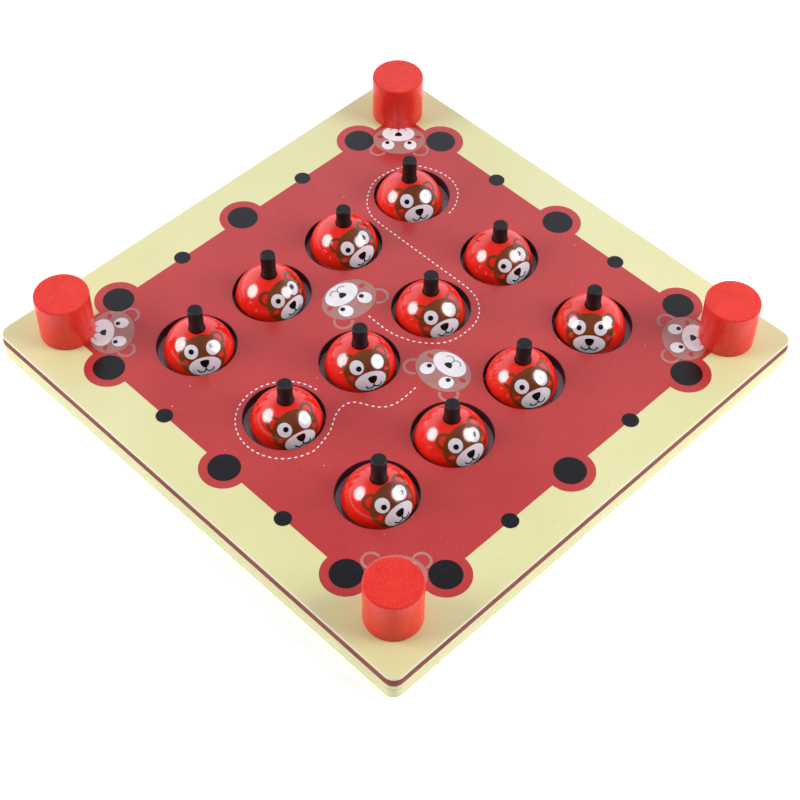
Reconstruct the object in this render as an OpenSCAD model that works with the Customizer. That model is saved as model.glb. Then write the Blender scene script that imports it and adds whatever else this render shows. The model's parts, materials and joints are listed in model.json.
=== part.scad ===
/* [Board] */
// Side of the square board
board_side = 240; // [225:1:300]
// Radius of the board's rounded corners
corner_r = 5; // [1:0.5:12]
// Thickness of the upper panel, which is the depth of the wells
upper_t = 5; // [4:0.5:8]
// Thickness of the middle panel, which is the floor of the wells
middle_t = 2.5; // [2:0.5:5]
// Thickness of the base panel
base_t = 5.5; // [4:0.5:10]
// How far off centre the wells and posts are drilled
drill_shift = [0.4, 0.6]; // [-1:0.1:1]

/* [Wells] */
// Wells in each row, along X
well_columns = 4; // [2:1:4]
// Rows of wells, along Y
well_rows = 3; // [2:1:3]
// Distance between wells along X
well_pitch_x = 42.9; // [40:0.1:46]
// Distance between wells along Y
well_pitch_y = 54.6; // [40:0.1:60]
// Diameter of a well
well_d = 34; // [34:0.5:36]

/* [Pawns] */
// Diameter of the wooden ball that each dome is cut from
ball_d = 30.6; // [29:0.2:31]
// Depth of the ball's centre below the board's face
ball_sink = 3.9; // [2.5:0.1:4.2]
// Width of the bevel round the foot of the dome
foot_bevel = 0.8; // [0.2:0.1:1.5]
// Diameter of the black stem
stem_d = 6.4; // [5:0.1:6.8]
// Usual height of the stem above the dome
stem_rise = 9.9; // [7:0.1:11]
// Depth of the bore that holds the stem
stem_bore_depth = 12; // [10:0.5:12.5]
// Width across the bevelled mouth of that bore
stem_mouth_d = 7.4; // [6.9:0.1:9]
// Diameter of the colour disc under the dome
disc_d = 20; // [12:0.5:24]
// Thickness of the colour disc
disc_t = 1.2; // [0.8:0.1:2]

/* [Posts] */
// Diameter of a corner post
post_d = 23.5; // [18:0.5:26]
// Height of a corner post
post_h = 22.5; // [20:0.5:40]
// Distance of the posts from the middle of the board, along X and Y
post_offset = 99; // [98:0.5:106]
// Width of the bevel on the post's edges
post_bevel = 0.5; // [0.2:0.1:1.5]

/* [Screws] */
// Diameter of a post screw's shank
screw_d = 3.5; // [3:0.1:4.5]
// Diameter of its countersunk head
screw_head_d = 7; // [6:0.1:8.5]
// Length of the screw
screw_l = 25; // [20:0.5:28]
// Depth of the screw head below the board's underside
screw_sink = 0.4; // [0.2:0.1:1]

/* [Hidden] */
$fn = 96;
eps = 0.01;
// Radial gap of the stem in its bore, on which the dome turns
running_gap = 0.05;
// Radial gap of glued and screwed pieces
glue_gap = 0.05;
// Least gap between a stem's lower end and the bottom of its bore
bore_end_gap = 0.3;
// Bevel of the stem's upper edge
stem_bevel = 0.4;
// Height of a screw head, its drive slot's width and its depth
screw_head_h = 2.2;
drive_w = 1;
drive_depth = 1.2;

// Heights of the panels' faces
middle_z = base_t;
floor_z = base_t + middle_t;
face_z = floor_z + upper_t;

// Heights on a pawn
ball_r = ball_d / 2;
ball_z = face_z - ball_sink;
dome_top = ball_z + ball_r;
bore_z = dome_top - stem_bore_depth;
stem_top = dome_top + stem_rise;

well_count = well_columns * well_rows;
// Where each loose pawn stands in its well, measured from the well's middle, row by row
rest_shift = [
    [0.2, -0.7], [-0.8, 0.2], [-0.5, 1.1], [0.2, 1.0],
    [0.8, -0.6], [0.4, -0.1], [-0.4, 0.1], [0.6, 1.0],
    [0.5, -0.7], [-0.2, 1.0], [1.1, 0.9], [-1.3, 0.4]
];
// How much higher than usual each stem was left when it was pressed in
stem_shift = [1.9, -1.1, 0.1, -0.6, -0.1, -0.3, -0.3, -1.9, 1.1, 1.9, -1.7, 1.1];
stem_z = bore_z + bore_end_gap - min(stem_shift);

post_names = ["front", "right", "back", "left"];
post_signs = [[-1, -1], [1, -1], [1, 1], [-1, 1]];
// How far off its place each post was drilled
post_shift = [[-0.5, -0.2], [0.6, -0.3], [-0.1, -0.4], [1.1, 0.4]];

// Middle of well n, counted from 1 along the rows
function well_at(n) =
    let (column = (n - 1) % well_columns, row = floor((n - 1) / well_columns))
    [
        drill_shift.x + (column - (well_columns - 1) / 2) * well_pitch_x,
        drill_shift.y + (row - (well_rows - 1) / 2) * well_pitch_y
    ];

function pawn_at(n) = well_at(n) + rest_shift[n - 1];
function post_at(i) = drill_shift + post_offset * post_signs[i] + post_shift[i];
function pawn_name(n, piece) = str("pawn_", n < 10 ? "0" : "", n, "_", piece);

// A square plate with rounded corners
module plate(z, t) {
    flat = board_side - 2 * corner_r;
    translate([0, 0, z]) linear_extrude(t) {
        square([board_side, flat], center = true);
        square([flat, board_side], center = true);
        for (s = post_signs) translate(s * flat / 2) circle(corner_r);
    }
}

// A cylinder with both of its edges bevelled
module bevelled_cylinder(r, h, lower, upper) {
    if (lower > 0) cylinder(h = lower, r1 = r - lower, r2 = r);
    translate([0, 0, lower]) cylinder(h = h - lower - upper, r = r);
    translate([0, 0, h - upper]) cylinder(h = upper, r1 = r, r2 = r - upper);
}

// The screws' clearance holes, through every panel
module screw_holes() {
    for (i = [0:3]) translate(post_at(i)) translate([0, 0, -eps])
        cylinder(h = face_z + 2 * eps, d = screw_d + 2 * glue_gap);
}

module upper_panel() {
    color("rosybrown") difference() {
        plate(floor_z, upper_t);
        for (n = [1:well_count]) translate(well_at(n)) translate([0, 0, floor_z - eps])
            cylinder(h = upper_t + 2 * eps, d = well_d);
        screw_holes();
    }
}

module middle_panel() {
    color("slategray") difference() {
        plate(middle_z, middle_t);
        screw_holes();
    }
}

module base_panel() {
    head_r = screw_head_d / 2 + glue_gap;
    color("palegoldenrod") difference() {
        plate(0, base_t);
        screw_holes();
        for (i = [0:3]) translate(post_at(i)) {
            translate([0, 0, -eps]) cylinder(h = screw_sink + 2 * eps, r = head_r);
            translate([0, 0, screw_sink])
                cylinder(h = screw_head_h, r1 = head_r, r2 = screw_d / 2 + glue_gap);
        }
    }
}

module post(i) {
    pilot = screw_sink + screw_l - face_z + 1;
    color("red") translate(post_at(i)) translate([0, 0, face_z]) difference() {
        bevelled_cylinder(post_d / 2, post_h, 0, post_bevel);
        translate([0, 0, -eps]) cylinder(h = pilot, d = screw_d + 2 * glue_gap);
    }
}

// One countersunk wood screw, head down, with a cross drive
module screw() {
    difference() {
        union() {
            cylinder(h = screw_head_h, d1 = screw_head_d, d2 = screw_d);
            translate([0, 0, screw_head_h])
                cylinder(h = screw_l - screw_head_h - screw_d / 2, d = screw_d);
            translate([0, 0, screw_l - screw_d / 2])
                cylinder(h = screw_d / 2, d1 = screw_d, d2 = 0.4);
        }
        for (a = [0, 90]) rotate(a) translate([0, 0, drive_depth / 2 - eps])
            cube([screw_head_d * 0.6, drive_w, drive_depth], center = true);
    }
}

module post_screws() {
    color("silver") for (i = [0:3]) translate(post_at(i)) translate([0, 0, screw_sink]) screw();
}

// A ball cut flat below its middle, bored for the stem and recessed for the disc
module pawn_dome() {
    bore_r = stem_d / 2 + running_gap;
    mouth_h = stem_mouth_d / 2 - bore_r;
    color("crimson") difference() {
        intersection() {
            translate([0, 0, ball_z]) sphere(ball_r);
            translate([0, 0, floor_z]) bevelled_cylinder(ball_r + eps, 2 * ball_r, foot_bevel, eps);
        }
        translate([0, 0, bore_z]) cylinder(h = stem_bore_depth + eps, r = bore_r);
        translate([0, 0, dome_top - 3 * mouth_h])
            cylinder(h = 3 * mouth_h, r1 = bore_r, r2 = stem_mouth_d / 2);
        translate([0, 0, floor_z - eps]) cylinder(h = disc_t + eps, d = disc_d + 2 * glue_gap);
    }
}

module pawn_stem(n) {
    color("black") translate([0, 0, stem_z + stem_shift[n - 1]])
        bevelled_cylinder(stem_d / 2, stem_top - stem_z, 0, stem_bevel);
}

// The hidden colour: pawns n and n + 6 carry the same one, so the twelve make six pairs
module pawn_disc(n) {
    tints = ["gold", "royalblue", "seagreen", "darkorange", "purple", "white"];
    color(tints[(n * 5) % 6]) translate([0, 0, floor_z]) cylinder(h = disc_t, d = disc_d);
}

upper_panel();
middle_panel();
base_panel();
for (i = [0:3])
    post(i);
post_screws();
for (n = [1:well_count]) {
    translate(pawn_at(n)) pawn_dome();
    translate(pawn_at(n)) pawn_stem(n);
    translate(pawn_at(n)) pawn_disc(n);
}
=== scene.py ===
"""Looks of a wooden memory board game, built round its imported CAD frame.

Blender works in metres, +Z up. The object's own sizes are in mm, and are multiplied by MM where
they are used. The board lies square to X and Y, with its middle at the origin.
"""
import json
import math

import bmesh
import bpy
from mathutils import Matrix, Vector

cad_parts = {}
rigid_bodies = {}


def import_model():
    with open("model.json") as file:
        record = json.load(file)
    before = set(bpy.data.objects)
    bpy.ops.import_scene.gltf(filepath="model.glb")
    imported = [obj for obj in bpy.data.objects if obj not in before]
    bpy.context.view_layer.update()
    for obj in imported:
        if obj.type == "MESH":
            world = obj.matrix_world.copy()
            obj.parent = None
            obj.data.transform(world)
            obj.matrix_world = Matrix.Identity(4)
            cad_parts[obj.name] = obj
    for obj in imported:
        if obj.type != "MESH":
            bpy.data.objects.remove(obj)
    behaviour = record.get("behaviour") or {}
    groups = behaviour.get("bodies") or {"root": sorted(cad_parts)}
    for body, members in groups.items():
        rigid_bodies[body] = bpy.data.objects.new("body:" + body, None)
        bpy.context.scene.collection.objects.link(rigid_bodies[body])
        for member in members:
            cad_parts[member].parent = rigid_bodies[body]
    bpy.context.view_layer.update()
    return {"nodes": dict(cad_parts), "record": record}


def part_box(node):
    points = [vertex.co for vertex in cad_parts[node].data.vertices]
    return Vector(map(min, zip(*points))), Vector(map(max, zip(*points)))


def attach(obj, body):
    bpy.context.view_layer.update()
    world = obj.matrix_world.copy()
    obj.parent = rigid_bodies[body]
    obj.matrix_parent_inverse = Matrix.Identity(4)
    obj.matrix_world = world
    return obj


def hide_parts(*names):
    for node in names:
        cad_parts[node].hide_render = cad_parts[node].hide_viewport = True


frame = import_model()

MM = 0.001
PAWNS = range(1, 13)
POSTS = ("front", "right", "back", "left")
DISC_TINTS = ("yellow", "blue", "green", "orange", "purple", "white")

# Sizes that the frame gives
PANEL_LOW, PANEL_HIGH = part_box("upper_panel")
HALF = PANEL_HIGH.x
FLOOR_Z = PANEL_LOW.z
FACE_Z = PANEL_HIGH.z

# The board's corners, and the rounding of its top edge, of its lower sheets and of the wells' rims
CORNER_R = 5.0
TOP_ROUND = 0.6
SHEET_ROUND = 0.45
RIM_ROUND = 0.3
# Holes for the screw heads in the base, and the rounding of their rims
SCREW_HOLE_R = 3.6
SCREW_HOLE_ROUND = 0.2
# Rounding of a post's top and foot
POST_ROUND = 0.7
POST_FOOT = 0.3
# The dome: its ball's depth below the board's face, its foot, and the mouth of its bore
BALL_SINK = 3.9
FOOT_BEVEL = 0.8
FOOT_INSET = 0.2
FOOT_STEP = 0.1
MOUTH_R = 3.7
MOUTH_ROUND = 0.5
MOUTH_SINK = 0.375
# Gaps of the stem in its bore, of the bore's end below the stem, and of the disc in its recess
STEM_GAP = 0.05
BORE_END_GAP = 0.3
DISC_GAP = 0.05
# Rounding of the stem's top and of the disc's lower edge
STEM_ROUND = 0.45
DISC_ROUND = 0.15
# How far from a pawn's middle its own well's rim can be, in dome radii
WELL_REACH = 1.32
# Edges sharper than this many degrees stay sharp
SHARP_ANGLE = 40

# Heights of the printed layers above the surface that they lie on, and of their hidden undersides
LAYERS = {"field": 0.03, "ears": 0.05, "head": 0.07, "light": 0.10, "dark": 0.13}
LAYER_ROOT = -0.08

# The board's print, from the middle of the board: the red field with its lobes, and the dots
FIELD_HALF = 99.0
FIELD_SHIFT = Vector((0.4, -0.9))
FIELD_TURN = math.radians(-0.16)
LOBE_R = 10.5
BIG_DOT_R = 6.75
SMALL_DOT_R = 3.6
DOT_AT = 72.0
SMALL_DOT_AT = 36.0
# How far anticlockwise the middle dot slipped along the right, far, left and near sides
MIDDLE_DOT_SLIP = (-1.7, 0.5, 1.1, -0.9)

DASH_LENGTH = 1.5
DASH_WIDTH = 0.62
DASH_PITCH = 2.64
# The dashed line that ends round the well at the back
LONG_ROUTE = [
    (-0.6, 15.4), (-0.8, 10.2), (-0.7, 4.5), (0.2, -0.6), (3.0, -7.8), (7.7, -13.9), (12.0, -17.3),
    (17.1, -19.1), (22.8, -19.5), (28.0, -19.0), (33.1, -17.0), (37.0, -13.6), (39.9, -9.2),
    (41.3, -3.8), (41.6, 2.0), (41.6, 20.0), (41.6, 38.0), (41.8, 54.6), (43.0, 59.9), (45.9, 64.9),
    (49.8, 68.5), (54.3, 71.5), (58.8, 73.3), (65.3, 73.6), (71.2, 72.3), (76.3, 70.2), (80.4, 66.4),
    (83.5, 60.0), (84.9, 53.8), (84.4, 48.0), (81.6, 42.4), (77.0, 38.4), (72.2, 36.0), (67.7, 35.0),
]
# The dashed line that starts round a well of the middle row: an arc round the well, in degrees,
# and then its own points
SHORT_ARC_PAWN = 5
SHORT_ARC_R = 20.2
SHORT_ARC_START = 8
SHORT_ARC_END = 266
SHORT_ARC_SLIP = Vector((-0.75, -1.15))
SHORT_ROUTE = [
    (-57.4, -18.6), (-52.6, -16.2), (-48.2, -13.5), (-44.4, -12.3), (-41.2, -12.3), (-38.5, -13.6),
    (-36.4, -16.4), (-34.4, -20.4), (-31.6, -24.0), (-27.8, -26.0), (-23.2, -26.7), (-14.4, -26.2),
]

# The camera's place from the middle of the board's face, in board sides. Then its turn, height
# and roll in degrees, and its lens in mm
CAMERA_PLACE = Vector((-1.4864, -1.4789, 2.4015))
CAMERA_ANGLES = (-45.378, 50.934, 0.730)
CAMERA_LENS = 80.86

# Brightness of the sky beyond the board, on the camera's side and overhead, and its colour
BACKDROP = 1.25
ROOM = 0.06
OVERHEAD = 0.18
SKY_TINT = (0.94, 0.98, 1.1, 1)
# Glow of the floor and of the wall round it, and that wall's radius in metres
FLOOR_GLOW = 0.36
WALL_GLOW = 0.85
ROOM_R = 5.9
# How far the floor lies below the board, so that their faces aren't in one plane
FLOOR_DROP = 0.2
# The soft lights: the way to each from the board, and its power
SOFT_LIGHTS = {
    "left": ((-0.65, 0.54, 0.535), 1.0),
    "right": ((0.475, -0.665, 0.575), 1.1),
}
# Distance and size in metres, and brightness, of the discs that light and of those that only shine
LIGHT_DISC = (1.2, 0.76, 6.6)
SHINE_DISC = (1.1, 0.68, 12)

# Bear faces, from the middle of the head: u to the viewer's right, v up. A shape is its middle and
# its half sizes, and an ear is its middle, outer radius and width. The mouth is the u of its middle
# line, that line's top and foot, and half the width and the drop of each half of the smile
PAWN_FACE = {
    "head": (0.2, 0.8, 10.8, 9.2),
    "ear": (8.1, 7.0, 3.7, 1.45),
    "muzzle": (0.3, -3.8, 7.05, 4.2),
    "eyes": ((-4.5, 3.5), (5.0, 3.5)),
    "eye": (3.0, 3.15),
    "pupils": ((-4.45, 3.2), (4.85, 4.0)),
    "pupil": 1.15,
    "cheek": (8.0, -0.55, 1.25, 0.95),
    "nose": (0.3, -2.75, 2.5, 1.7),
    "mouth": (0.4, -4.2, -4.85, 1.75, 1.5),
    "line": 0.6,
}
BOARD_FACE = {
    "head": (0.0, 0.0, 12.8, 10.3),
    "ear": (10.4, 7.45, 4.45, 1.25),
    "muzzle": (0.4, -4.3, 8.0, 5.5),
    "eyes": ((-5.5, 3.9), (5.5, 3.9)),
    "eye": (3.1, 3.3),
    "pupils": ((-5.1, 2.3), (5.9, 2.3)),
    "pupil": 1.1,
    "cheek": (9.4, -1.9, 1.6, 1.05),
    "nose": (0.4, -3.8, 2.3, 1.4),
    "mouth": (0.4, -4.8, -6.4, 1.95, 1.6),
    "line": 0.35,
}
# The open arcs of the left ear and of the left half of the smile, in degrees
EAR_ARC = (30, 245)
SMILE_ARC = (182, 350)
# Where each face on the board is, which way its chin points in degrees, and its scale
BOARD_FACES = [
    ((0.0, 28.9), 90, 1.015),
    ((0.4, -27.7), 0, 1.0),
    ((-85.1, 86.0), 135, 0.94),
    ((86.6, 85.3), 45, 0.94),
    ((86.6, -87.3), -45, 0.94),
    ((-85.9, -86.9), -135, 0.94),
]
# How each pawn was printed and put down: its face's turn from -Y, height and roll in degrees, and
# how far the black ink slipped from the white
PAWN_LOOKS = [
    (-10, 38, 7, 0.1, -0.6),
    (-12, 35, 4, -0.1, -0.3),
    (-23, 35, 6, -0.1, 0.0),
    (-54, 35, 4, 0.0, 0.1),
    (-21, 31, 7, 0.5, 0.4),
    (-26, 38, 2, 0.7, -0.5),
    (-20, 33, 4, -0.3, 0.2),
    (-10, 31, 9, -0.8, 0.4),
    (-30, 37, 1, 0.0, 0.3),
    (0, 31, 7, 0.0, 0.2),
    (-10, 34, 8, -0.2, -0.5),
    (-26, 36, 1, -0.1, -0.1),
]


# ---------------------------------------------------------------- materials

def srgb(red, green, blue):
    """A colour given in screen values from 0 to 255."""
    def linear(value):
        value /= 255
        return value / 12.92 if value <= 0.04045 else ((value + 0.055) / 1.055) ** 2.4
    return (linear(red), linear(green), linear(blue), 1.0)


# Clear coats over paint that has no gloss of its own: over the board's paint and print, over its
# red print, on the posts, on the pawns, and on the thin ink of the pawns' noses and mouths
SATIN = {"specular_ior_level": 0.0, "coat_weight": 1.0, "coat_roughness": 0.25, "coat_ior": 1.5}
PRINTED = {"specular_ior_level": 0.0, "coat_weight": 1.0, "coat_roughness": 0.2, "coat_ior": 1.6}
WOODEN = {"specular_ior_level": 0.0, "coat_weight": 0.8, "coat_roughness": 0.25, "coat_ior": 1.5}
GLOSS = {"specular_ior_level": 0.0, "coat_weight": 1.0, "coat_roughness": 0.15, "coat_ior": 1.7}
INKED = {"specular_ior_level": 0.0, "coat_weight": 0.35, "coat_roughness": 0.2, "coat_ior": 1.5}


class Finish:
    """A node material in the making, with its Principled shader and object coordinates. sockets
    are the shader's own settings, such as coat_weight."""

    def __init__(self, name, **sockets):
        self.material = bpy.data.materials.new(name)
        self.material.use_nodes = True
        self.tree = self.material.node_tree
        self.shader = self.tree.nodes["Principled BSDF"]
        for socket, value in sockets.items():
            label = socket.replace("_", " ").title().replace("Ior", "IOR")
            self.shader.inputs[label].default_value = value
        self.coordinates = self.add("ShaderNodeTexCoord").outputs["Object"]

    def add(self, kind, links=(), **values):
        """A node, with its inputs set, or linked from another node, by name or by number."""
        node = self.tree.nodes.new(kind)
        for key, value in values.items():
            setattr(node, key, value)
        for socket, source in dict(links).items():
            if isinstance(source, bpy.types.NodeSocket):
                self.tree.links.new(source, node.inputs[socket])
            else:
                node.inputs[socket].default_value = source
        return node

    def noise(self, per_metre, detail=3.0, roughness=0.55, squeeze=(1, 1, 1)):
        """Noise from 0 to 1, with that many features to the metre times squeeze on each axis."""
        place = self.add("ShaderNodeMapping", {"Vector": self.coordinates, "Scale": squeeze})
        links = {
            "Vector": place.outputs["Vector"],
            "Scale": per_metre,
            "Detail": detail,
            "Roughness": roughness,
        }
        return self.add("ShaderNodeTexNoise", links).outputs[0]

    def specks(self, per_metre, size, share):
        """1 on small round specks, 0 between them. share is how many cells hold one."""
        links = {"Vector": self.coordinates, "Scale": per_metre}
        cells = self.add("ShaderNodeTexVoronoi", links)
        near = self.combine("LESS_THAN", cells.outputs["Distance"], size)
        pick = self.add("ShaderNodeSeparateColor", {"Color": cells.outputs["Color"]})
        chosen = self.combine("LESS_THAN", pick.outputs[0], share)
        return self.combine("MULTIPLY", near, chosen)

    def combine(self, operation, *values):
        """The result of a Math node."""
        links = dict(enumerate(values))
        return self.add("ShaderNodeMath", links, operation=operation).outputs[0]

    def span(self, value, low, high, into=(0.0, 1.0)):
        """value's stretch from low to high, turned into the stretch into and held at its ends."""
        links = {
            "Value": value,
            "From Min": low,
            "From Max": high,
            "To Min": into[0],
            "To Max": into[1],
        }
        return self.add("ShaderNodeMapRange", links).outputs["Result"]

    def mix(self, factor, a, b):
        """Colour a where factor is 0, and b where it is 1."""
        return self.add("ShaderNodeMix", {0: factor, 6: a, 7: b}, data_type="RGBA").outputs[2]

    def colour(self, value):
        self.tree.links.new(value, self.shader.inputs["Base Color"])

    def rough(self, value):
        self.tree.links.new(value, self.shader.inputs["Roughness"])

    def bump(self, *heights):
        """Bump from several (height, depth in metres) pairs, one on another."""
        normal = None
        for height, depth in heights:
            links = {"Height": height, "Distance": depth, "Strength": 1.0}
            if normal is not None:
                links["Normal"] = normal
            normal = self.add("ShaderNodeBump", links).outputs["Normal"]
        self.tree.links.new(normal, self.shader.inputs["Normal"])


def cream_paint(name, low, high):
    f = Finish(name, **SATIN)
    cloud = f.noise(14, 4)
    colour = f.mix(f.span(cloud, 0.3, 0.7), low, high)
    colour = f.mix(f.specks(420, 0.13, 0.06), colour, srgb(206, 198, 146))
    f.colour(colour)
    f.rough(f.span(f.noise(60), 0.3, 0.7, (0.36, 0.46)))
    f.bump((f.noise(500, 2), 0.000015), (f.noise(2500, 2), 0.000006))
    return f.material


def edge_stain():
    f = Finish("edge_stain", roughness=0.55, specular_ior_level=0.15)
    fibre = f.noise(900, 4, 0.6, (1, 1, 2.5))
    band = f.noise(60, 3)
    colour = f.mix(f.span(fibre, 0.3, 0.7), srgb(116, 52, 52), srgb(158, 82, 78))
    colour = f.mix(f.span(band, 0.4, 0.75, (0, 0.45)), colour, srgb(86, 32, 38))
    f.colour(colour)
    f.bump((fibre, 0.00004))
    return f.material


def well_wall():
    f = Finish("well_wall", roughness=0.5)
    fibre = f.noise(1100, 4, 0.6, (1, 1, 2.5))
    f.colour(f.mix(f.span(fibre, 0.3, 0.7), srgb(34, 20, 26), srgb(62, 40, 46)))
    f.bump((fibre, 0.00003))
    return f.material


def well_floor():
    f = Finish("well_floor", coat_weight=0.5, coat_roughness=0.15)
    cloud = f.noise(220, 4)
    f.colour(f.mix(f.span(cloud, 0.35, 0.65), srgb(226, 200, 210), srgb(244, 220, 230)))
    f.rough(f.span(cloud, 0.3, 0.7, (0.25, 0.4)))
    f.bump((f.noise(1200, 3), 0.00001))
    return f.material


def red_print():
    f = Finish("red_print", **PRINTED)
    cloud = f.noise(28, 4)
    grain = f.noise(1300, 3)
    colour = f.mix(f.span(cloud, 0.35, 0.65), srgb(190, 58, 58), srgb(199, 66, 64))
    colour = f.mix(f.span(grain, 0.35, 0.7, (0, 0.5)), colour, srgb(174, 40, 42))
    colour = f.mix(f.specks(850, 0.16, 0.10), colour, srgb(212, 100, 98))
    colour = f.mix(f.specks(170, 0.045, 0.3), colour, srgb(240, 190, 176))
    f.colour(colour)
    f.rough(f.span(grain, 0.3, 0.7, (0.36, 0.5)))
    f.bump((grain, 0.000012), (f.noise(400, 2), 0.00001))
    return f.material


def black_print():
    f = Finish("black_print", **SATIN)
    grain = f.noise(700, 3)
    colour = f.mix(f.span(grain, 0.35, 0.7), srgb(10, 9, 12), srgb(24, 22, 28))
    f.colour(f.mix(f.specks(500, 0.10, 0.06), colour, srgb(60, 54, 60)))
    f.rough(f.span(grain, 0.3, 0.7, (0.36, 0.5)))
    f.bump((grain, 0.000012))
    return f.material


def pink_print():
    f = Finish("pink_print", **SATIN)
    cloud = f.noise(120, 3)
    grain = f.noise(900, 3)
    colour = f.mix(f.span(cloud, 0.35, 0.65), srgb(174, 122, 114), srgb(184, 134, 126))
    f.colour(f.mix(f.span(grain, 0.4, 0.75, (0, 0.3)), colour, srgb(190, 98, 94)))
    f.bump((grain, 0.00001))
    return f.material


def white_print():
    f = Finish("white_print", **SATIN)
    cloud = f.noise(220, 3)
    f.colour(f.mix(f.span(cloud, 0.35, 0.7), srgb(240, 236, 240), srgb(250, 248, 250)))
    f.bump((f.noise(900, 2), 0.00001))
    return f.material


def grey_print():
    f = Finish("grey_print", **SATIN)
    f.colour(f.mix(f.span(f.noise(900, 2), 0.35, 0.7), srgb(70, 62, 70), srgb(96, 88, 96)))
    return f.material


def lacquer(name, low, high, coat=GLOSS):
    """Glossy lacquer over turned wood: a clear coat with a slight orange peel."""
    f = Finish(name, **coat)
    grain = f.noise(110, 4, 0.6, (1, 1, 0.25))
    f.colour(f.mix(f.span(grain, 0.35, 0.7), low, high))
    f.rough(f.span(grain, 0.3, 0.7, (0.3, 0.45)))
    f.bump((f.noise(140, 2), 0.000012), (f.noise(1500, 2), 0.00002))
    return f.material


def post_paint():
    f = Finish("post_paint", **WOODEN)
    grain = f.noise(90, 4, 0.6, (1, 1, 0.12))
    pores = f.noise(1100, 3, 0.6, (1, 1, 0.15))
    colour = f.mix(f.span(grain, 0.35, 0.7), srgb(226, 42, 33), srgb(237, 54, 43))
    colour = f.mix(f.span(pores, 0.55, 0.8, (0, 0.3)), colour, srgb(210, 34, 28))
    f.colour(f.mix(f.span(f.noise(1300, 3), 0.45, 0.75, (0, 0.4)), colour, srgb(250, 100, 82)))
    f.rough(f.span(grain, 0.3, 0.7, (0.3, 0.42)))
    f.bump((pores, 0.00001), (f.noise(350, 2), 0.000012))
    return f.material


def stem_paint():
    f = Finish("stem_paint", specular_ior_level=0.35)
    grain = f.noise(500, 4, 0.6, (1, 1, 0.15))
    f.colour(f.mix(f.span(grain, 0.35, 0.7), srgb(8, 6, 9), srgb(24, 21, 26)))
    f.rough(f.span(grain, 0.3, 0.7, (0.42, 0.56)))
    f.bump((grain, 0.00003))
    return f.material


def disc_paint(tint):
    slot = next(m for m in frame["record"]["materials"] if m["slot"] == "disc_" + tint)
    base = (*slot["base_color"], 1.0)
    shade = (*[0.8 * value for value in slot["base_color"]], 1.0)
    f = Finish("disc_paint_" + tint, roughness=0.5)
    f.colour(f.mix(f.span(f.noise(300, 3), 0.35, 0.7), shade, base))
    f.bump((f.noise(900, 2), 0.00001))
    return f.material


def screw_steel():
    f = Finish("screw_steel", metallic=1.0)
    wear = f.noise(900, 3)
    f.colour(f.mix(f.span(wear, 0.3, 0.7), srgb(196, 196, 190), srgb(226, 224, 214)))
    f.rough(f.span(wear, 0.3, 0.7, (0.22, 0.42)))
    f.bump((wear, 0.00001))
    return f.material


def floor_white():
    glow = {"emission_color": (1, 1, 1, 1), "emission_strength": FLOOR_GLOW}
    f = Finish("floor_white", roughness=0.9, **glow)
    f.colour(f.mix(f.noise(3, 2), (0.93, 0.93, 0.93, 1), (0.95, 0.95, 0.95, 1)))
    return f.material


def wall_white():
    dark = {"base_color": (0, 0, 0, 1), "specular_ior_level": 0.0}
    glow = {"emission_color": (0.94, 0.97, 1.0, 1), "emission_strength": WALL_GLOW}
    return Finish("wall_white", **dark, **glow).material


# ---------------------------------------------------------------- mesh makers

def piece(name, bm, materials, body, slot, replaced=()):
    """A finished mesh piece that rides on a CAD body, in place of the CAD nodes in replaced."""
    bmesh.ops.recalc_face_normals(bm, faces=bm.faces)
    mesh = bpy.data.meshes.new(name)
    bm.to_mesh(mesh)
    bm.free()
    for item in materials:
        mesh.materials.append(item)
    mesh.shade_smooth()
    mesh.set_sharp_from_angle(angle=math.radians(SHARP_ANGLE))
    obj = bpy.data.objects.new(name, mesh)
    bpy.context.scene.collection.objects.link(obj)
    even = obj.modifiers.new("even", "WEIGHTED_NORMAL")
    even.keep_sharp = True
    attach(obj, body)
    if replaced:
        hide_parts(*replaced)


def arc(middle, radius, start, end, steps):
    """Points on an arc of a circle, or of an ellipse when radius is a pair; degrees."""
    rx, ry = radius if isinstance(radius, tuple) else (radius, radius)
    turns = [math.radians(start + (end - start) * i / steps) for i in range(steps + 1)]
    return [(middle[0] + rx * math.cos(t), middle[1] + ry * math.sin(t)) for t in turns]


def round_node(name):
    """The middle, lowest and highest heights, and radius of a round CAD node, in metres."""
    low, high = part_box(name)
    return (low + high) / 2, low.z, high.z, (high.x - low.x) / 2


def lathe(name, profile, axis, material, body, slot, replaced, segments=96):
    """A turned solid. profile is (radius, height) from the axis round to the axis, in metres."""
    bm = bmesh.new()
    rings = []
    for radius, height in profile:
        count = segments if radius > 0 else 1
        ring = []
        for k in range(count):
            turn = 2 * math.pi * k / count
            place = (axis.x + radius * math.cos(turn), axis.y + radius * math.sin(turn), height)
            ring.append(bm.verts.new(place))
        rings.append(ring)
    for low, high in zip(rings, rings[1:]):
        for k in range(segments):
            corners = [low[k % len(low)], low[(k + 1) % len(low)]]
            corners += [high[(k + 1) % len(high)], high[k % len(high)]]
            bm.faces.new(list(dict.fromkeys(corners)))
    piece(name, bm, [material], body, slot, [replaced])


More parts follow.
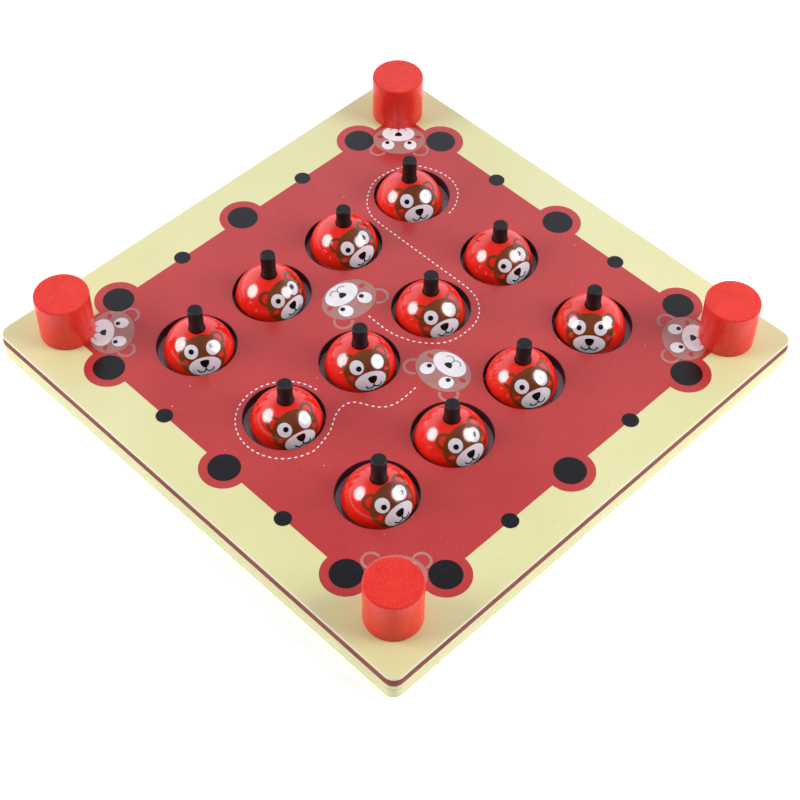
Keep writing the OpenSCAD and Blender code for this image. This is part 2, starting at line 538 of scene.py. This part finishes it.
def slab(bm, outline, holes, z_low, z_high, edge=0.0, rim=0.0, index=(0, 0, 0, 0, 0)):
    """A flat plate with holes, its outer edges rounded by edge and the holes' by rim. outline and
    holes give a loop of points, drawn in from the material's edge by an offset. index numbers the
    materials of the top, its rounded edge, the side, the hole walls and the bottom."""
    caps = {"low": [], "high": []}
    steps = 4
    for n, loop in enumerate([outline, *holes]):
        radius = rim if n else edge
        turns = [math.pi / 2 * i / steps for i in range(steps + 1)] if radius else [0.0]
        low = [(radius * (1 - math.sin(t)), z_low + radius * (1 - math.cos(t))) for t in turns]
        high = [(offset, z_low + z_high - z) for offset, z in reversed(low)]
        rings = []
        for offset, z in low + high:
            rings.append([bm.verts.new((x, y, z)) for x, y in loop(offset)])
        count = len(rings[0])
        for i, (a, b) in enumerate(zip(rings, rings[1:])):
            for k in range(count):
                face = bm.faces.new((a[k], a[(k + 1) % count], b[(k + 1) % count], b[k]))
                outer = index[1] if i >= len(low) else index[2]
                face.material_index = index[3] if n else outer
        for cap, ring in (("low", rings[0]), ("high", rings[-1])):
            for k in range(count):
                caps[cap].append(bm.edges.get((ring[k], ring[(k + 1) % count])))
    for cap, edges in caps.items():
        made = bmesh.ops.triangle_fill(bm, edges=edges, use_beauty=True)
        for face in made["geom"]:
            if isinstance(face, bmesh.types.BMFace):
                face.material_index = index[0] if cap == "high" else index[4]


def board_outline(offset):
    """The board's rounded square, drawn in from its edge by the offset, for slab."""
    radius = CORNER_R * MM
    flat = HALF - radius
    points = []
    for k, (sx, sy) in enumerate(((1, 1), (-1, 1), (-1, -1), (1, -1))):
        points += arc((sx * flat, sy * flat), radius - offset, 90 * k, 90 * k + 90, 12)
    return points


def round_hole(middle, radius, segments=96):
    """A round hole's loop for slab."""
    return lambda offset: arc(middle, radius + offset, 0, 360, segments)[:-1]


def patch(bm, grid, place, layer):
    """A thin closed shell from a grid of (u, v) points. place puts (u, v, lift) in space."""
    tops = [[bm.verts.new(place(u, v, LAYERS[layer])) for u, v in row] for row in grid]
    roots = [[bm.verts.new(place(u, v, LAYER_ROOT)) for u, v in row] for row in grid]
    rows, columns = len(grid), len(grid[0])
    for sheet in (tops, roots):
        for i in range(rows - 1):
            for j in range(columns - 1):
                a, b = sheet[i], sheet[i + 1]
                bm.faces.new((a[j], a[j + 1], b[j + 1], b[j]))
    rim = [(0, j) for j in range(columns)] + [(i, columns - 1) for i in range(1, rows)]
    rim += [(rows - 1, j) for j in range(columns - 2, -1, -1)]
    rim += [(i, 0) for i in range(rows - 2, 0, -1)]
    for (i, j), (m, n) in zip(rim, rim[1:] + rim[:1]):
        bm.faces.new((tops[i][j], tops[m][n], roots[m][n], roots[i][j]))


def oval(u, v, half_u, half_v, cells=12, roundness=1.0):
    """A grid of points over an ellipse, or over a squarer shape when roundness is under 1."""
    steps = [2 * k / cells - 1 for k in range(cells + 1)]

    def pull(other):
        return math.sqrt(1 - roundness * other * other / 2)
    return [[(u + half_u * x * pull(y), v + half_v * y * pull(x)) for x in steps] for y in steps]


def ribbon(line, width):
    """A grid along a line of points, width wide."""
    grid = []
    for k, here in enumerate(line):
        ahead = Vector(line[min(k + 1, len(line) - 1)]) - Vector(line[max(k - 1, 0)])
        side = Vector((-ahead.y, ahead.x)).normalized() * width / 2
        grid.append([(here[0] - side.x, here[1] - side.y), (here[0] + side.x, here[1] + side.y)])
    return grid


def nose_shape(u, v, half_u, half_v):
    """A rounded triangle, point down: a squarish oval that narrows towards its foot."""
    def narrow(x, y):
        return u + half_u * x * (0.72 + 0.28 * y), v + half_v * y
    return [[narrow(x, y) for x, y in row] for row in oval(0, 0, 1, 1, roundness=0.8)]


# ---------------------------------------------------------------- bear faces

def on_side(ends, side):
    """The ends of an arc on that side of a face, from those on the left, in degrees."""
    return ends if side < 0 else tuple(180 - end for end in ends)


def bear_layers(face, dark_slip=(0.0, 0.0)):
    """The face's shapes by ink: a list of (layer, grid) for each. dark_slip moves the black ones."""
    du, dv = dark_slip
    inks = {"head": [], "light": [], "pupils": [], "dark": [], "line": [], "cheeks": []}
    u, v, half_u, half_v = face["head"]
    inks["head"].append(("head", oval(u, v, half_u, half_v, 24)))
    ear_u, ear_v, ear_r, ear_w = face["ear"]
    cheek_u, cheek_v, cheek_w, cheek_h = face["cheek"]
    for side in (-1, 1):
        middle = (u + side * ear_u, ear_v)
        ring = arc(middle, ear_r - ear_w / 2, *on_side(EAR_ARC, side), 36)
        inks["head"].append(("ears", ribbon(ring, ear_w)))
        inks["cheeks"].append(("light", oval(u + side * cheek_u, cheek_v, cheek_w, cheek_h, 6)))
    inks["light"].append(("light", oval(*face["muzzle"], 20)))
    for eye in face["eyes"]:
        inks["light"].append(("light", oval(*eye, *face["eye"], 12)))
    radius = face["pupil"]
    for pupil_u, pupil_v in face["pupils"]:
        inks["pupils"].append(("dark", oval(pupil_u + du, pupil_v + dv, radius, radius, 8)))
    nose_u, nose_v, nose_w, nose_h = face["nose"]
    inks["dark"].append(("dark", nose_shape(nose_u + du, nose_v + dv, nose_w, nose_h)))
    mouth_u, top, foot, half, drop = face["mouth"]
    line = face["line"]
    overlap = 0.3
    philtrum = [(mouth_u + du, top + dv), (mouth_u + du, foot - overlap + dv)]
    inks["line"].append(("dark", ribbon(philtrum, line)))
    for side in (-1, 1):
        middle = (mouth_u + side * half + du, foot + dv)
        smile = arc(middle, (half, drop), *on_side(SMILE_ARC, side), 20)
        inks["line"].append(("dark", ribbon(smile, line)))
    return inks


def on_board(middle, chin, scale):
    """Places face points on the board's face, the chin pointing along that direction."""
    down = Vector((math.cos(math.radians(chin)), math.sin(math.radians(chin))))
    right = Vector((-down.y, down.x))
    base = Vector(middle)

    def place(u, v, lift):
        at = base + scale * (u * right - v * down)
        return (at.x * MM, at.y * MM, FACE_Z + lift * MM)
    return place


def facing(turn, height, roll):
    """The outward, rightward and upward directions of something that faces outward: turned from
    -Y, raised, and rolled about its outward direction, in degrees."""
    turn, height, roll = (math.radians(angle) for angle in (turn, height, roll))
    flat = math.cos(height)
    out = Vector((math.sin(turn) * flat, -math.cos(turn) * flat, math.sin(height)))
    level = Vector((math.cos(turn), math.sin(turn), 0))
    upright = out.cross(level)
    right = math.cos(roll) * level + math.sin(roll) * upright
    up = math.cos(roll) * upright - math.sin(roll) * level
    return out, right, up


def on_ball(middle, radius, turn, height, roll):
    """Places face points on a dome, by arc length from the face's middle."""
    out, right, top = facing(turn, height, roll)

    def place(u, v, lift):
        reach = math.hypot(u, v) * MM
        angle = reach / radius
        along = (u * right + v * top).normalized() if reach else right
        return middle + (radius + lift * MM) * (math.cos(angle) * out + math.sin(angle) * along)
    return place


def print_face(name, face, place, body, inks, slip=(0.0, 0.0)):
    """One bear face: a piece for each ink. inks gives each one's material and record slot."""
    for ink, shapes in bear_layers(face, slip).items():
        bm = bmesh.new()
        for layer, grid in shapes:
            patch(bm, grid, place, layer)
        material, slot = inks[ink]
        piece(f"{name}_{ink}", bm, [material], body, slot)


# ---------------------------------------------------------------- the board

def well(n):
    """The middle and radius of the well round pawn n, from the panel's own mesh."""
    middle, _, _, radius = round_node(f"pawn_{n:02d}_dome")
    corners = [v.co for v in frame["nodes"]["upper_panel"].data.vertices]
    rim = [c for c in corners if (c.xy - middle.xy).length < WELL_REACH * radius]
    xs = [c.x for c in rim]
    ys = [c.y for c in rim]
    return ((min(xs) + max(xs)) / 2, (min(ys) + max(ys)) / 2), (max(xs) - min(xs)) / 2


def make_panels(wells, cream, edge_highlight_paint, stain, wall, floor):
    bm = bmesh.new()
    holes = [round_hole(middle, radius) for middle, radius in wells]
    slab(bm, board_outline, holes, FLOOR_Z, FACE_Z, TOP_ROUND * MM, RIM_ROUND * MM, (0, 3, 1, 2, 1))
    # The rounded top edge takes the paler cream, a painted highlight standing in for the lights'
    # shine on that edge.
    paints = [cream, stain, wall, edge_highlight_paint]
    piece("upper_board", bm, paints, "board", "panel_edge", ["upper_panel"])
    low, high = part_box("middle_panel")
    bm = bmesh.new()
    slab(bm, board_outline, [], low.z, high.z, SHEET_ROUND * MM, 0, (1, 0, 0, 0, 0))
    piece("middle_board", bm, [cream, floor], "board", "well_floor", ["middle_panel"])
    low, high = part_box("base_panel")
    holes = []
    for name in POSTS:
        axis = round_node("post_" + name)[0]
        holes.append(round_hole(axis.xy, SCREW_HOLE_R * MM, 48))
    bm = bmesh.new()
    slab(bm, board_outline, holes, low.z, high.z, SHEET_ROUND * MM, SCREW_HOLE_ROUND * MM)
    piece("base_board", bm, [cream], "board", "cream_paint", ["base_panel"])


def field_sides():
    """(place, big dots) of each side of the field, anticlockwise from the right. place puts (out,
    along) points on the board, and the big dots are given by their places along the side."""
    for k, slip in enumerate(MIDDLE_DOT_SLIP):
        turn = Matrix.Rotation(math.pi / 2 * k + FIELD_TURN, 2)

        def place(point, turn=turn):
            return FIELD_SHIFT + turn @ Vector(point)
        yield place, (-DOT_AT, slip, DOT_AT)


def field_points():
    """The red field's outline: straight sides with a half-round lobe at each big dot."""
    points = []
    for place, big_dots in field_sides():
        local = [(FIELD_HALF, -FIELD_HALF)]
        for at in big_dots:
            local += arc((FIELD_HALF, at), LOBE_R, -90, 90, 24)
        points += [place(p) for p in local]
    return points


def dot_places():
    """(place, radius) of each black dot round the field."""
    for place, big_dots in field_sides():
        for at in big_dots:
            yield place((FIELD_HALF, at)), BIG_DOT_R
        for at in (-SMALL_DOT_AT, SMALL_DOT_AT):
            yield place((FIELD_HALF, at)), SMALL_DOT_R


def make_field(wells, red):
    bm = bmesh.new()
    outline = [(p.x * MM, p.y * MM) for p in field_points()]
    holes = [round_hole(middle, radius + RIM_ROUND * MM) for middle, radius in wells]
    top = FACE_Z + LAYERS["field"] * MM
    slab(bm, lambda offset: outline, holes, FACE_Z + LAYER_ROOT * MM, top)
    piece("print_field", bm, [red], "board", "ink_red")


def make_dots(black):
    bm = bmesh.new()
    flat = on_board((0, 0), -90, 1.0)
    for at, radius in dot_places():
        patch(bm, oval(at.x, at.y, radius, radius, 20), flat, "light")
    piece("print_dots", bm, [black], "board", "ink_black")


def smooth_route(points, step):
    """Evenly spaced (point, direction) along a Catmull-Rom curve through the points."""
    dense = []
    spots = [Vector(p) for p in (points[0], *points, points[-1])]
    fine = 24
    for a, b, c, d in zip(spots, spots[1:], spots[2:], spots[3:]):
        for k in range(fine):
            t = k / fine
            bend = (2 * a - 5 * b + 4 * c - d) * t ** 2 + (3 * b - a - 3 * c + d) * t ** 3
            dense.append(0.5 * (2 * b + (c - a) * t + bend))
    dense.append(spots[-1])
    travelled, due = 0.0, 0.0
    for here, ahead in zip(dense, dense[1:]):
        length = (ahead - here).length
        while length and travelled + length >= due:
            share = (due - travelled) / length
            yield here.lerp(ahead, share), (ahead - here).normalized()
            due += step
        travelled += length


def dash(at, along):
    """A small oval on a dashed line."""
    length = along * DASH_LENGTH / 2
    width = Vector((-along.y, along.x)) * DASH_WIDTH / 2
    return [[at + x * length + y * width for x, y in row] for row in oval(0, 0, 1, 1, 4)]


def make_dashes(white, wells):
    middle = Vector(wells[SHORT_ARC_PAWN - 1][0]) / MM + SHORT_ARC_SLIP
    short = arc(middle, SHORT_ARC_R, SHORT_ARC_START, SHORT_ARC_END, 19) + SHORT_ROUTE
    bm = bmesh.new()
    flat = on_board((0, 0), -90, 1.0)
    for route in (LONG_ROUTE, short):
        for at, along in smooth_route(route, DASH_PITCH):
            patch(bm, dash(at, along), flat, "light")
    piece("print_dashes", bm, [white], "board", "ink_white")


def make_posts(paint):
    foot = POST_FOOT * MM
    edge = POST_ROUND * MM
    for name in POSTS:
        axis, low, high, radius = round_node("post_" + name)
        profile = [(0, low), (radius - foot, low)]
        profile += arc((radius - foot, low + foot), foot, -90, 0, 4)
        profile += arc((radius - edge, high - edge), edge, 0, 90, 8)
        profile += [(0, high)]
        lathe("corner_post_" + name, profile, axis, paint, "board", "post_red", "post_" + name)


def make_screws(steel):
    """The CAD's own screws, in steel."""
    materials = frame["nodes"]["post_screws"].data.materials
    materials.clear()
    materials.append(steel)


# ---------------------------------------------------------------- the pawns

def disc_tint(n):
    """The colour under pawn n. Pawns six apart carry the same one."""
    return DISC_TINTS[n * 5 % 6]


def make_dome(prefix, paint):
    """A ball cut flat and rounded at its foot, recessed for the disc and bored for the stem. Returns
    the ball's middle and radius."""
    axis, low, _, radius = round_node(prefix + "dome")
    _, stem_low, _, stem_r = round_node(prefix + "stem")
    _, _, disc_high, disc_r = round_node(prefix + "disc")
    ball_z = FACE_Z - BALL_SINK * MM

    def level(z):
        """The angle up the ball at that height, in degrees."""
        return math.degrees(math.asin((z - ball_z) / radius))

    bevel = FOOT_BEVEL * MM
    foot_top = low + bevel
    foot_r = radius * math.cos(math.radians(level(foot_top))) - bevel - FOOT_INSET * MM
    recess = disc_r + DISC_GAP * MM
    profile = [(0, disc_high), (recess, disc_high), (recess, low), (foot_r, low)]
    profile += arc((foot_r, foot_top), bevel, -90, -25, 5)[1:]

    mouth_z = ball_z + math.sqrt(radius ** 2 - (MOUTH_R * MM) ** 2)
    profile += arc((0, ball_z), radius, level(foot_top + FOOT_STEP * MM), level(mouth_z), 40)
    bore = stem_r + STEM_GAP * MM
    lip = MOUTH_ROUND * MM
    profile += arc((bore + lip, mouth_z - MOUTH_SINK * MM), lip, 75, 180, 6)
    bore_end = stem_low - BORE_END_GAP * MM
    profile += [(bore, bore_end), (0, bore_end)]
    lathe(prefix + "dome_turned", profile, axis, paint, prefix + "shell", "dome_red", prefix + "dome")
    return Vector((axis.x, axis.y, ball_z)), radius


def make_stem(prefix, paint):
    axis, low, high, radius = round_node(prefix + "stem")
    edge = STEM_ROUND * MM
    profile = [(0, low), (radius, low)]
    profile += arc((radius - edge, high - edge), edge, 0, 90, 6)
    profile += [(0, high)]
    name = prefix + "stem_turned"
    lathe(name, profile, axis, paint, prefix + "core", "stem_black", prefix + "stem", 48)


def make_disc(prefix, tint, paint):
    axis, low, high, radius = round_node(prefix + "disc")
    edge = DISC_ROUND * MM
    profile = [(0, low)]
    profile += arc((radius - edge, low + edge), edge, -90, 0, 3)
    profile += [(radius, high), (0, high)]
    name = prefix + "disc_turned"
    lathe(name, profile, axis, paint, prefix + "shell", "disc_" + tint, prefix + "disc", 64)


def make_pawn(n, dome_paint, stem_black, disc, inks):
    prefix = f"pawn_{n:02d}_"
    middle, radius = make_dome(prefix, dome_paint)
    make_stem(prefix, stem_black)
    make_disc(prefix, disc_tint(n), disc)
    turn, height, roll, *slip = PAWN_LOOKS[n - 1]
    place = on_ball(middle, radius, turn, height, roll)
    print_face(prefix + "face", PAWN_FACE, place, prefix + "shell", inks, slip)


# ---------------------------------------------------------------- studio

def make_camera():
    place = CAMERA_PLACE * 2 * HALF + Vector((0, 0, FACE_Z))
    back, right, up = facing(*CAMERA_ANGLES)
    data = bpy.data.cameras.new("camera")
    data.sensor_width = 36
    data.lens = CAMERA_LENS
    data.clip_start = 0.01
    camera = bpy.data.objects.new("camera", data)
    camera.matrix_world = Matrix.Translation(place) @ Matrix((right, up, back)).transposed().to_4x4()
    bpy.context.scene.collection.objects.link(camera)
    bpy.context.scene.camera = camera


def soft_disc(name, direction, power, disc, shines_on=None):
    """A round soft light, aimed at the middle of the board. It lights every surface but leaves no
    highlight. With shines_on it only leaves highlights, on the pieces of that collection."""
    distance, size, brightness = disc
    area = math.pi * size ** 2 / 4
    data = bpy.data.lights.new(name, "AREA")
    data.shape = "DISK"
    data.size = size
    data.energy = power * brightness * math.pi * area
    light = bpy.data.objects.new(name, data)
    away = Vector(direction).normalized()
    light.location = away * distance
    light.rotation_euler = away.to_track_quat("Z", "Y").to_euler()
    light.visible_camera = False
    if shines_on:
        light.visible_diffuse = False
        light.light_linking.receiver_collection = shines_on
    else:
        light.visible_glossy = False
    bpy.context.scene.collection.objects.link(light)


def make_sky():
    """The light from the room: bright beyond the board, dimmer on the camera's side and overhead."""
    world = bpy.data.worlds.new("studio")
    world.use_nodes = True
    tree = world.node_tree

    def fade(value, low, high):
        """A smooth fade between two brightnesses as value goes from low to high."""
        node = tree.nodes.new("ShaderNodeMapRange")
        node.interpolation_type = "SMOOTHSTEP"
        tree.links.new(value, node.inputs["Value"])
        node.inputs["From Min"].default_value = low
        node.inputs["From Max"].default_value = high
        return node

    # Turned so that its Y runs along the board's diagonal, away from the camera
    direction = tree.nodes.new("ShaderNodeTexCoord").outputs["Generated"]
    turned = tree.nodes.new("ShaderNodeVectorRotate")
    turned.rotation_type = "Z_AXIS"
    turned.inputs["Angle"].default_value = math.radians(45)
    tree.links.new(direction, turned.inputs["Vector"])
    parts = tree.nodes.new("ShaderNodeSeparateXYZ")
    tree.links.new(turned.outputs["Vector"], parts.inputs[0])
    across = fade(parts.outputs["Y"], -0.1, 0.5)
    across.inputs["To Min"].default_value = ROOM
    across.inputs["To Max"].default_value = BACKDROP
    upward = fade(parts.outputs["Z"], 0.55, 0.9)
    tree.links.new(across.outputs["Result"], upward.inputs["To Min"])
    upward.inputs["To Max"].default_value = OVERHEAD
    background = tree.nodes["Background"]
    tree.links.new(upward.outputs["Result"], background.inputs["Strength"])
    background.inputs["Color"].default_value = SKY_TINT
    bpy.context.scene.world = world


def stage_piece(name, bm, material):
    """A piece of the studio, which isn't part of the object."""
    mesh = bpy.data.meshes.new(name)
    bm.to_mesh(mesh)
    bm.free()
    mesh.materials.append(material)
    obj = bpy.data.objects.new(name, mesh)
    bpy.context.scene.collection.objects.link(obj)
    return obj


def make_floor():
    bm = bmesh.new()
    bmesh.ops.create_grid(bm, x_segments=8, y_segments=8, size=ROOM_R)
    floor = stage_piece("floor", bm, floor_white())
    floor.location.z = -FLOOR_DROP * MM


def make_wall():
    """A pale round wall that the camera sees beyond the floor. It doesn't change the light."""
    bm = bmesh.new()
    bmesh.ops.create_uvsphere(bm, u_segments=64, v_segments=32, radius=ROOM_R)
    wall = stage_piece("wall", bm, wall_white())
    for ray in ("diffuse", "glossy", "transmission", "volume_scatter", "shadow"):
        setattr(wall, "visible_" + ray, False)


def make_lights():
    """The soft lights. Only the pawns show their highlights, which would hide the board's print."""
    pawns = bpy.data.collections.new("pawns")
    for obj in bpy.data.objects:
        if obj.name.startswith("pawn_") and obj.name not in frame["nodes"]:
            pawns.objects.link(obj)
    for name, (direction, power) in SOFT_LIGHTS.items():
        soft_disc(name + "_light", direction, power, LIGHT_DISC)
        soft_disc(name + "_shine", direction, power, SHINE_DISC, pawns)


def make_studio():
    make_lights()
    make_sky()
    make_floor()
    make_wall()
    view = bpy.context.scene.view_settings
    view.view_transform = "Standard"
    view.look = "None"


def main():
    make_camera()
    wells = [well(n) for n in PAWNS]
    cream = cream_paint("cream_paint", srgb(225, 221, 161), srgb(232, 228, 175))
    # A paler cream for the board's rounded top edge: a painted highlight in place of the shine of the
    # lights, which don't shine on the board.
    edge_highlight_paint = cream_paint("edge_highlight_paint", srgb(240, 234, 196), srgb(246, 241, 208))
    make_panels(wells, cream, edge_highlight_paint, edge_stain(), well_wall(), well_floor())
    red, black, white, grey = red_print(), black_print(), white_print(), grey_print()
    make_field(wells, red)
    make_dots(black)
    make_dashes(white, wells)
    board_inks = {
        "head": (pink_print(), "ink_pink"),
        "light": (white, "ink_white"),
        "pupils": (black, "ink_black"),
        "dark": (black, "ink_black"),
        "line": (grey, "ink_black"),
        "cheeks": (red, "ink_red"),
    }
    for k, (middle, chin, scale) in enumerate(BOARD_FACES):
        place = on_board(middle, chin, scale)
        print_face(f"board_face_{k + 1}", BOARD_FACE, place, "board", board_inks)
    make_posts(post_paint())
    make_screws(screw_steel())
    dome_paint = lacquer("dome_paint", srgb(238, 30, 14), srgb(248, 42, 22))
    stem_black = stem_paint()
    discs = {tint: disc_paint(tint) for tint in DISC_TINTS}
    shiny_black = lacquer("gloss_black", srgb(8, 5, 7), srgb(18, 13, 16))
    ink_black = lacquer("thin_black", srgb(8, 5, 7), srgb(18, 13, 16), INKED)
    pawn_inks = {
        "head": (lacquer("gloss_brown", srgb(106, 50, 14), srgb(130, 66, 22)), "ink_brown"),
        "light": (lacquer("gloss_white", srgb(230, 226, 236), srgb(240, 237, 245)), "ink_white"),
        "pupils": (shiny_black, "ink_black"),
        "dark": (ink_black, "ink_black"),
        "line": (ink_black, "ink_black"),
        "cheeks": (dome_paint, "dome_red"),
    }
    for n in PAWNS:
        make_pawn(n, dome_paint, stem_black, discs[disc_tint(n)], pawn_inks)
    make_studio()


main()
